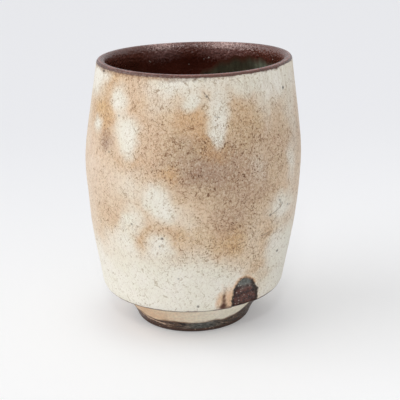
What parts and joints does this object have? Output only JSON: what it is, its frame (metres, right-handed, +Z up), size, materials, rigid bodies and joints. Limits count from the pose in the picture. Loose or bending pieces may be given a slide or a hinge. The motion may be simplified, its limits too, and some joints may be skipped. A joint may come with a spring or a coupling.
{
  "type": "yunomi tea cup",
  "caption": "Tall handleless stoneware tea cup with a gently swelling thrown wall, crackled white glaze outside, brown glaze inside and a turned foot.",
  "frame": {"origin": "on the table, under the middle of the cup's belly", "axes": "+Z up along the cup's axis; -Y is the front, which the picture shows, with the finger mark low on its right"},
  "size_m": [0.072, 0.072, 0.09],
  "materials": {
    "dark_stoneware": "rough iron-rich fired clay",
    "foot_stoneware": "rough iron-rich fired clay, turned",
    "crackled_white_glaze": "satin crackled white glaze with tan fire marks",
    "dark_mark_glaze": "dark red-brown glassy glaze",
    "thin_brown_glaze": "thin satin brown glaze",
    "dark_brown_glaze": "glossy dark brown iron glaze",
    "grey_green_ash_glaze": "glossy grey-green ash glaze",
    "foot_cream_glaze": "satin cream glaze with pink flashing",
    "foot_dark_glaze": "dark olive-brown vitreous coat"
  },
  "bodies": {
    "root": {"clay_body": "dark_stoneware", "foot_ring": "foot_stoneware", "white_glaze": "crackled_white_glaze", "finger_mark": "dark_mark_glaze", "lip_glaze": "thin_brown_glaze", "inner_glaze": "dark_brown_glaze", "ash_glaze": "grey_green_ash_glaze", "foot_white_glaze": "foot_cream_glaze", "foot_dark_glaze": "foot_dark_glaze"}
  },
  "joints": []
}
